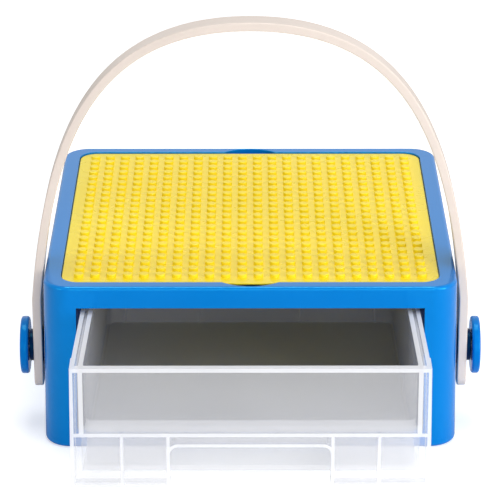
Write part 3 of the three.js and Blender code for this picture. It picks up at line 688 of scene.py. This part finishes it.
class OBJECT_OT_carry_case_housing(Operator):
    """Add the blue housing: its wall's outline carried round the case, with its opening and two notches"""

    bl_idname = "object.carry_case_housing"
    bl_label = "Case housing"

    def execute(self, context):
        sizes = context.scene.carry_case_housing
        straight = sizes.half_width - sizes.corner_radius
        opening = sizes.opening_half
        front = np.concatenate([[-opening], front_places(CLOSE_AT_NOTCH, 43, 8), [opening]]) / straight
        path = frame_path(front, side=np.linspace(-0.9, 0.9, 11), corner_steps=16)
        half_x, half_y, radius, height, notched, outer, inner = self.wall_outline(sizes)
        points = framed(path, half_x, half_y, radius, height)
        bulge = segment_reach(points[..., 0], sizes.notch_half, sizes.notch_depth)
        facing = np.where(np.abs(path[:, 3]) == 1, path[:, 3], 0.0)[:, None]
        points[..., 1] += facing * bulge * notched
        points[..., 0] *= 1 + (sizes.flare / sizes.half_width) * (1 - points[..., 2] / sizes.height)
        rows, columns = points.shape[:2]
        number = np.arange(rows * columns).reshape(rows, columns)
        in_front = path[:, 3] == -1
        first = np.flatnonzero(np.isclose(path[:, 0], front[0]) & in_front)[0]
        last = np.flatnonzero(np.isclose(path[:, 0], front[-1]) & in_front)[0]
        quads = grid_faces(rows, columns, True, True)
        row, column = np.divmod(quads[:, 0], columns)
        in_opening = (row >= first) & (row < last)
        in_wall = np.isin(column, outer[:-1]) | np.isin(column, inner[:-1])
        across = np.arange(first, last + 1)
        reveal = [
            strip_faces(number[across, outer[-1]], number[across, inner[0]]),
            strip_faces(number[across, outer[0]], number[across, inner[-1]]),
            strip_faces(number[first, outer], number[first, inner[::-1]]),
            strip_faces(number[last, outer], number[last, inner[::-1]]),
        ]
        used, faces = self.used_only(np.vstack([quads[~(in_opening & in_wall)], *reveal]))
        points = points.reshape(-1, 3)[used]
        post_points, post_faces = self.posts(sizes)
        add_piece(
            "case_housing",
            np.vstack([points, post_points]),
            [faces, post_faces + len(points)],
            "housing",
            ["case_shell"],
            "shell_blue",
            sizes.edge_softness,
        )
        return {"FINISHED"}

    def wall_outline(self, sizes):
        """The wall's outline at each level, from the bottom's inner edge out and up, over the rim, in over
        the ledge and down again: straight stretches joined by quarter circles at the three roundings."""
        turn = np.linspace(0, np.pi / 2, 9)
        levels = np.linspace(sizes.opening_bottom, sizes.opening_top, 7)
        low, top, edge = sizes.bottom_fillet, sizes.top_fillet, sizes.rim_edge
        bends = list(zip(np.sin(turn), np.cos(turn)))
        outside = [(low * (1 - s), low * (1 - c)) for s, c in bends]
        outside += [(0.0, z) for z in levels]
        outside += [(top * (1 - c), sizes.height - top * (1 - s)) for s, c in bends]
        rim = [(edge * (1 - s), sizes.height - edge * (1 - c)) for s, c in bends[::2]]
        rim += [(0.0, sizes.ledge_top)]
        width, depth, corner, wall = sizes.half_width, sizes.half_depth, sizes.corner_radius, sizes.wall
        inside = (width - wall, depth - wall, corner - wall)
        ledge = (sizes.ledge_half, sizes.ledge_half, sizes.ledge_corner)
        outline = [(*inside, 0.0)]
        outline += [(width - inset, depth - inset, corner - inset, z) for inset, z in outside]
        outline += [(sizes.rim_half + out, sizes.rim_half + out, sizes.rim_corner + out, z) for out, z in rim]
        outline += [(*ledge, sizes.ledge_top), (*ledge, sizes.ledge_bottom)]
        outline += [(*inside, z) for z in (sizes.ledge_bottom, *levels[::-1])]
        half_x, half_y, radius, height = np.array(outline).T
        rim_start = 1 + len(outside)
        notched = np.zeros(len(outline))
        notched[rim_start:rim_start + len(rim)] = 1.0
        outer = np.arange(1 + len(turn), 1 + len(turn) + len(levels))
        inner = np.arange(len(outline) - len(levels), len(outline))
        return half_x, half_y, radius, height, notched, outer, inner

    def used_only(self, faces):
        """The point numbers that the faces use, and the faces renumbered by them."""
        used, renumbered = np.unique(faces, return_inverse=True)
        return used, renumbered.reshape(faces.shape)

    def posts(self, sizes):
        """A closed round bar in each corner of the bay: rings at both ends, drawn in to their middles."""
        steps = 20
        angle = np.arange(steps) * (2 * np.pi / steps)
        radius = np.array([0.0, sizes.post_radius, sizes.post_radius, 0.0])
        ring = upright_rings(angle, radius, np.repeat([sizes.post_bottom, sizes.post_top], 2))
        x = sizes.half_width - sizes.wall - sizes.post_inset
        y = sizes.half_depth - sizes.wall - sizes.post_inset
        places = np.array([(-x, -y, 0.0), (x, -y, 0.0), (-x, y, 0.0), (x, y, 0.0)])
        points = ring.reshape(1, -1, 3) + places[:, None]
        faces = grid_faces(steps, len(radius), True, False)
        start = np.arange(len(places)) * steps * len(radius)
        return points.reshape(-1, 3), (faces[None] + start[:, None, None]).reshape(-1, 4)


class OBJECT_OT_carry_case_plate(Operator):
    """Add the studded plate: a board with a finger tab, and a rounded stud on each point of the grid"""

    bl_idname = "object.carry_case_plate"
    bl_label = "Stud plate"

    def execute(self, context):
        sizes = context.scene.carry_case_plate
        board, board_faces = self.board(sizes)
        studs, stud_faces = self.studs(sizes)
        add_piece(
            "stud_plate",
            np.vstack([board, studs]),
            board_faces + [block + len(board) for block in stud_faces],
            "plate",
            ["building_plate"],
            "stud_yellow",
            smooth_angle=50,
        )
        return {"FINISHED"}

    def board(self, sizes):
        """The board's edge carried round its outline, with the tab as a round bulge of the front and a round
        recess under it, and both flat faces closed."""
        straight = sizes.half - sizes.corner_radius
        front = front_places(CLOSE_AT_TAB, 37, 6) / straight
        path = frame_path(front, side=np.linspace(-0.8, 0.8, 9), corner_steps=14)
        turn = np.linspace(0, np.pi / 2, 5)
        tab_low = sizes.top - sizes.tab_thickness
        inset = np.concatenate([[0.0, 0.0, 0.0], sizes.edge * (1 - np.cos(turn))])
        low = [sizes.bottom, tab_low - sizes.tab_slope, tab_low]
        height = np.concatenate([low, sizes.top - sizes.edge * (1 - np.sin(turn))])
        half, radius = sizes.half - inset, sizes.corner_radius - inset
        points = framed(path, half, half, radius, height)
        tab = segment_reach(points[..., 0], sizes.tab_half, sizes.tab_reach)
        cut_back = -sizes.tab_recess / sizes.tab_reach
        outward = np.where(height > tab_low - sizes.tab_slope / 2, 1.0, cut_back)
        points[..., 1] -= tab * outward * (path[:, 3] == -1)[:, None]
        rows, columns = points.shape[:2]
        number = np.arange(rows * columns).reshape(rows, columns)
        faces = [grid_faces(rows, columns, True, False), number[:, :1].T, number[:, -1:].T]
        return points.reshape(-1, 3), faces

    def studs(self, sizes):
        """One stud's rings, a straight side and a quarter circle, copied to every point of the grid."""
        turn = np.linspace(0, np.pi / 2, 3)
        rounded = sizes.stud_radius - sizes.stud_edge * (1 - np.cos(turn))
        radius = np.concatenate([[sizes.stud_radius], rounded])
        above = sizes.stud_top - sizes.stud_edge * (1 - np.sin(turn))
        height = np.concatenate([[sizes.top - STUD_SINK], above])
        angle = (np.arange(sizes.stud_sides) + 0.5) * (2 * np.pi / sizes.stud_sides)
        ring = upright_rings(angle, radius, height)
        step = (np.arange(sizes.studs_per_side) - (sizes.studs_per_side - 1) / 2) * sizes.stud_pitch
        x, y = np.meshgrid(step, step, indexing="ij")
        places = np.stack([x.ravel(), y.ravel(), np.zeros(x.size)], -1)
        points = (places[:, None, None] + ring[None]).reshape(-1, 3)
        count = ring.shape[0] * ring.shape[1]
        start = (np.arange(len(places)) * count)[:, None, None]
        number = np.arange(count).reshape(ring.shape[:2])
        side = (grid_faces(*number.shape, True, False)[None] + start).reshape(-1, 4)
        return points, [side, number[:, 0] + start[:, 0], number[:, -1] + start[:, 0]]


class OBJECT_OT_carry_case_drawer(Operator):
    """Add the frosted drawer: the drawer's exact body with its edges rounded"""

    bl_idname = "object.carry_case_drawer"
    bl_label = "Frosted drawer"

    def execute(self, context):
        sizes = context.scene.carry_case_drawer
        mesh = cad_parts["drawer_tub"].data.copy()
        mesh.name = "frosted_drawer"
        work = bmesh.new()
        work.from_mesh(mesh)
        bmesh.ops.remove_doubles(work, verts=work.verts, dist=2 * SEAM)
        bmesh.ops.dissolve_limit(work, angle_limit=math.radians(1), verts=work.verts, edges=work.edges)
        work.to_mesh(mesh)
        work.free()
        drawer = place_piece(
            "frosted_drawer",
            mesh,
            "drawer",
            ["drawer_tub"],
            "frosted",
            sizes.edge_softness,
        )
        for finish in DRAWER_FINISHES[1:]:
            mesh.materials.append(material_of(finish))
        drawer.modifiers["Soft edges"].material = DRAWER_FINISHES.index("frosted_edge")
        self.choose_finishes(mesh)
        return {"FINISHED"}

    def choose_finishes(self, mesh):
        """Gives the edge finish to the faces that look up at the rim's height, the floor finish to the other
        level faces, and the front finish to the skin's outer face."""
        count = len(mesh.polygons)
        normal, centre = np.empty(count * 3), np.empty(count * 3)
        mesh.polygons.foreach_get("normal", normal)
        mesh.polygons.foreach_get("center", centre)
        normal, centre = normal.reshape(-1, 3), centre.reshape(-1, 3)
        low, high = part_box("drawer_tub")
        level_face = np.abs(normal[:, 2]) > 0.9
        rim = level_face & (centre[:, 2] > high.z - FINISH_REACH)
        front = (normal[:, 1] < -0.9) & (centre[:, 1] < low.y + FINISH_REACH)
        names = ("frosted_edge", "frosted_front", "frosted_floor")
        finish = np.select([rim, front, level_face], [DRAWER_FINISHES.index(name) for name in names], 0)
        mesh.polygons.foreach_set("material_index", finish.astype(np.int32))


class OBJECT_OT_carry_case_strap(Operator):
    """Add the strap handle: a flat outline carried along the arch, and at each side a leg end with its eye"""

    bl_idname = "object.carry_case_strap"
    bl_label = "Strap handle"

    def execute(self, context):
        sizes = context.scene.carry_case_strap
        across = np.linspace(-1, 1, 9)
        join = PIVOT_Z + LEG_END_HEIGHT
        arch, arch_faces = self.arch(sizes, across, join)
        points, faces = [arch], [arch_faces]
        for side in (-1, 1):
            leg, leg_faces = self.leg_end(sizes, across, join, side)
            faces.append(leg_faces + sum(len(block) for block in points))
            points.append(leg)
        add_piece(
            "strap_handle",
            np.vstack(points),
            faces,
            "handle",
            ["handle_strap"],
            "strap_cream",
            sizes.edge_softness,
            3,
        )
        return {"FINISHED"}

    def half_width(self, sizes, height):
        """Half the strap's width at a height: the leg's, then an S curve down to the crown's."""
        t = np.linspace(0, 1, 80)
        start, end = sizes.narrow_from, sizes.narrow_to
        middle = (start + end) / 2
        z = cubic((start, middle, middle, end), t)
        narrowed = cubic((0, 0, 1, 1), t)
        return sizes.leg_half + (sizes.crown_half - sizes.leg_half) * np.interp(height, z, narrowed)

    def arch(self, sizes, across, join):
        """Both faces of the strap over the arch: the outer line is a straight leg and one cubic curve to the
        middle, mirrored, the inner line is the same line moved in by the thickness, and each is as wide as
        the strap is at its height."""
        t = np.linspace(0, 1, 57)[:, None]
        knots = np.array(
            [
                (sizes.outer, sizes.bend),
                (sizes.outer - sizes.leg_lean, sizes.bend + sizes.leg_pull),
                (sizes.crown_pull, sizes.top),
                (0.0, sizes.top),
            ]
        )
        curve = cubic(knots, t)
        along = cubic_direction(knots, t)
        leg = np.stack([np.full(3, sizes.outer), np.linspace(join, sizes.bend, 4)[:3]], -1)
        outer = np.vstack([leg, curve])
        along = np.vstack([np.tile([0.0, 1.0], (3, 1)), along])
        along /= np.linalg.norm(along, axis=1)[:, None]
        inner = outer + sizes.thickness * np.stack([-along[:, 1], along[:, 0]], -1)
        mirror = np.array([-1.0, 1.0])
        outer = np.vstack([outer, outer[-2::-1] * mirror])
        inner = np.vstack([inner, inner[-2::-1] * mirror])
        spread = [self.spread(sizes, outer, across), self.spread(sizes, inner, across[::-1])]
        points = np.concatenate(spread, axis=1)
        rows, columns = points.shape[:2]
        return points.reshape(-1, 3), grid_faces(rows, columns, False, True)

    def spread(self, sizes, line, across):
        """A line of points in X and Z, spread over the strap's width along Y."""
        x, z = line[:, :1], line[:, 1:]
        y = PIVOT_Y + self.half_width(sizes, z) * across
        return np.stack([np.broadcast_to(x, y.shape), y, np.broadcast_to(z, y.shape)], -1)

    def leg_end(self, sizes, across, join, side):
        """Both faces of a leg's end: rings that run from the round eye to the leg's outline, each point
        moving in a straight line, with the eye's wall and the leg's edge between the faces."""
        half, radius = sizes.leg_half, sizes.end_radius
        top, bottom = join - PIVOT_Z, sizes.end - PIVOT_Z
        turn = np.linspace(0, np.pi / 2, 7)
        down = np.linspace(top, bottom + radius, 9)[1:-1]
        left = np.stack([np.full(len(down), -half), down], -1)
        corner_x = radius - half - radius * np.cos(turn)
        corner = np.stack([corner_x, bottom + radius - radius * np.sin(turn)], -1)
        base = np.stack([np.linspace(radius - half, half - radius, 5)[1:-1], np.full(3, bottom)], -1)
        mirror = np.array([-1.0, 1.0])
        lower = np.vstack([left, corner, base, corner[::-1] * mirror, left[::-1] * mirror])
        upper = np.stack([across[::-1] * half, np.full(len(across), top)], -1)
        outline = np.vstack([upper, lower])
        eye = sizes.eye_radius * outline / np.linalg.norm(outline, axis=1)[:, None]
        way = np.linspace(0, 1, 5)[:, None, None]
        flat = eye + way * (outline - eye)
        rings, count = flat.shape[:2]
        sheets = [
            np.stack([np.full((rings, count), side * x), PIVOT_Y + flat[..., 0], PIVOT_Z + flat[..., 1]], -1)
            for x in (sizes.outer, sizes.outer - sizes.thickness)
        ]
        number = np.arange(2 * rings * count).reshape(2, rings, count)
        sheet = grid_faces(rings, count, False, True)
        edge = np.append(np.arange(len(across) - 1, count), 0)
        faces = [
            sheet,
            sheet + rings * count,
            strip_faces(number[0, 0], number[1, 0], close=True),
            strip_faces(number[0, -1, edge], number[1, -1, edge]),
        ]
        return np.stack(sheets).reshape(-1, 3), np.vstack(faces)


class OBJECT_OT_carry_case_pivots(Operator):
    """Add the knobs and the dark bushes: outlines turned round the pivot's axis"""

    bl_idname = "object.carry_case_pivots"
    bl_label = "Knobs and bushes"

    def execute(self, context):
        sizes = context.scene.carry_case_pivots
        steps = 72
        knob = self.knob_outline(sizes)
        bush = self.bush_outline(sizes)
        for name, side in (("left", -1), ("right", 1)):
            add_piece(
                f"round_knob_{name}",
                turned_points(knob, side, steps),
                [grid_faces(steps, len(knob), True, False)],
                "housing",
                [f"knob_{name}"],
                "knob_blue",
                smooth_angle=50,
            )
            add_piece(
                f"dark_bush_{name}",
                turned_points(bush, side, steps),
                [grid_faces(steps, len(bush), True, True)],
                "housing",
                [f"pivot_bush_{name}"],
                "bush_navy",
                smooth_angle=40,
            )
        return {"FINISHED"}

    def knob_outline(self, sizes):
        """From the closed end of the screw's hole, over the inner face and round both edges, to a shallow
        dish in the outer face."""
        inner, outer = BUSH_HIGH.x + KNOB_GAP, KNOB_HIGH.x
        rounding, bore, dish = sizes.knob_rounding, sizes.bore_radius, sizes.dish_radius
        centre = sizes.knob_radius - rounding
        return [
            (0.0, outer - KNOB_FACE),
            (bore, outer - KNOB_FACE),
            (bore, inner),
            *quarter((centre, inner + rounding), rounding, -90),
            *quarter((centre, outer - rounding), rounding, 0),
            (dish + DISH_LIP, outer),
            (dish, outer - DISH_LIP_DROP),
            (dish - DISH_SLOPE, outer - sizes.dish_depth),
            (0.0, outer - sizes.dish_depth),
        ]

    def bush_outline(self, sizes):
        """The flange against the case wall and the neck that carries the strap, round a bore."""
        bore, neck = sizes.bore_radius, sizes.neck_radius
        flange, face = sizes.flange_radius, sizes.flange_outer
        return [
            (bore, BUSH_LOW.x),
            (flange - BUSH_EDGE, BUSH_LOW.x),
            (flange, BUSH_LOW.x + BUSH_EDGE),
            (flange, face - BUSH_EDGE),
            (flange - BUSH_EDGE, face),
            (neck, face),
            (neck, BUSH_HIGH.x - BUSH_EDGE),
            (neck - BUSH_EDGE, BUSH_HIGH.x),
            (bore, BUSH_HIGH.x),
        ]


class OBJECT_OT_carry_case_inner_parts(Operator):
    """Give the bottom cover, the guides, the screws and the washers their finishes"""

    bl_idname = "object.carry_case_inner_parts"
    bl_label = "Inner parts"

    def execute(self, context):
        finishes = {
            # The cover and the guides get the darker blue with painted shade for the bay
            "inner_blue": ["case_base", "guide_wall_left", "guide_wall_right"],
            "steel": [
                "base_screw_1", "base_screw_2", "base_screw_3", "base_screw_4",
                "pivot_washer_left", "pivot_washer_right", "pivot_screw_left", "pivot_screw_right",
            ],
        }
        for finish, names in finishes.items():
            for name in names:
                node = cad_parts[name]
                node.data.materials.clear()
                node.data.materials.append(material_of(finish))
        return {"FINISHED"}


# Panel and registration

STEPS = (
    OBJECT_OT_carry_case_camera,
    OBJECT_OT_carry_case_stage,
    OBJECT_OT_carry_case_housing,
    OBJECT_OT_carry_case_plate,
    OBJECT_OT_carry_case_drawer,
    OBJECT_OT_carry_case_strap,
    OBJECT_OT_carry_case_pivots,
    OBJECT_OT_carry_case_inner_parts,
)

SETTINGS = {
    "carry_case_housing": CaseHousingSizes,
    "carry_case_plate": StudPlateSizes,
    "carry_case_drawer": DrawerSizes,
    "carry_case_strap": StrapSizes,
    "carry_case_pivots": PivotSizes,
    "carry_case_colours": CaseColours,
    "carry_case_studio": StudioSettings,
}


class VIEW3D_PT_carry_case(Panel):
    """The steps that build the carry case, in order"""

    bl_idname = "VIEW3D_PT_carry_case"
    bl_label = "Carry Case"
    bl_space_type = "VIEW_3D"
    bl_region_type = "UI"
    bl_category = "Carry Case"

    def draw(self, context):
        for step in STEPS:
            self.layout.operator(step.bl_idname)


def register():
    for settings in SETTINGS.values():
        bpy.utils.register_class(settings)
    for name, settings in SETTINGS.items():
        setattr(bpy.types.Scene, name, PointerProperty(type=settings))
    for step in STEPS:
        bpy.utils.register_class(step)
    bpy.utils.register_class(VIEW3D_PT_carry_case)


def unregister():
    bpy.utils.unregister_class(VIEW3D_PT_carry_case)
    for step in reversed(STEPS):
        bpy.utils.unregister_class(step)
    for name, settings in SETTINGS.items():
        delattr(bpy.types.Scene, name)
        bpy.utils.unregister_class(settings)


def main():
    register()
    bpy.ops.object.carry_case_camera()
    bpy.ops.object.carry_case_stage()
    bpy.ops.object.carry_case_housing()
    bpy.ops.object.carry_case_plate()
    bpy.ops.object.carry_case_drawer()
    bpy.ops.object.carry_case_strap()
    bpy.ops.object.carry_case_pivots()
    bpy.ops.object.carry_case_inner_parts()


if __name__ == "__main__":
    main()
